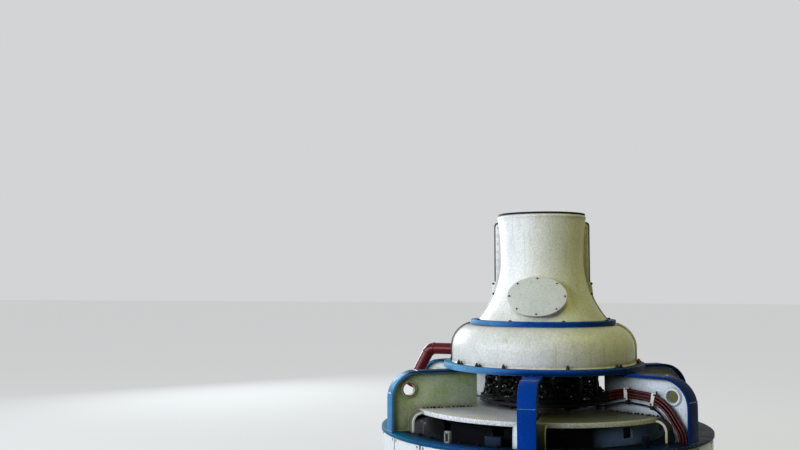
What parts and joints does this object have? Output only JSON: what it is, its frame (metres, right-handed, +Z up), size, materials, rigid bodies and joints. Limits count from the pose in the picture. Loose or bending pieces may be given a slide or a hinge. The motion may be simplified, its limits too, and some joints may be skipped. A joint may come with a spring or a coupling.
{
  "type": "hydroelectric generator, top of a vertical unit",
  "caption": "Vertical hydroelectric generator: round panelled stator housing, L-shaped spider arms round the brush gear, drum cover and bell-shaped hood with an oval inspection cover.",
  "frame": {"origin": "middle of the housing's footprint on the floor, on the shaft's axis", "axes": "+Z up along the shaft, -Y towards the front arm and the oval inspection cover, +X to the right of a person who faces the cover"},
  "size_m": [2.656, 2.6556, 2.122],
  "materials": {
    "cream_paint": "satin",
    "blue_paint": "gloss",
    "web_paint": "satin",
    "grey_paint": "satin",
    "dark_paint": "satin",
    "pipe_paint": "gloss",
    "shaft_steel": "satin",
    "ring_brass": "worn",
    "brush_insulation": "matte",
    "black_conduit": "matte",
    "white_clamp": "satin"
  },
  "bodies": {
    "root": {"sole_ring": "dark_paint", "housing_wall": "dark_paint", "housing_panels": "cream_paint", "housing_top_ring": "blue_paint", "deck_plate": "blue_paint", "inner_barrel": "blue_paint", "shelf_disc": "cream_paint", "front_web": "web_paint", "front_right_web": "web_paint", "back_right_web": "web_paint", "back_web": "web_paint", "back_left_web": "web_paint", "front_left_web": "web_paint", "front_flange": "blue_paint", "front_right_flange": "blue_paint", "back_right_flange": "blue_paint", "back_flange": "blue_paint", "back_left_flange": "blue_paint", "front_left_flange": "blue_paint", "leg_flanges": "cream_paint", "lower_ring": "blue_paint", "drum_front_half": "cream_paint", "drum_back_half": "cream_paint", "upper_ring": "blue_paint", "hood_front_half": "cream_paint", "hood_back_half": "cream_paint", "hood_cap": "dark_paint", "oval_seat": "cream_paint", "oval_cover": "grey_paint", "shaft": "shaft_steel", "slip_rings": "ring_brass", "rocker_ring": "dark_paint", "brush_studs": "shaft_steel", "stud_tie_ring": "shaft_steel", "brush_boxes": "brush_insulation", "oil_pipes": "pipe_paint", "cable_conduit": "black_conduit", "pipe_clamps": "white_clamp", "air_pipe": "pipe_paint", "air_pipe_flange": "pipe_paint", "slotted_box": "grey_paint", "wide_box": "blue_paint", "dark_box": "dark_paint", "tee_bracket": "shaft_steel"}
  },
  "joints": []
}
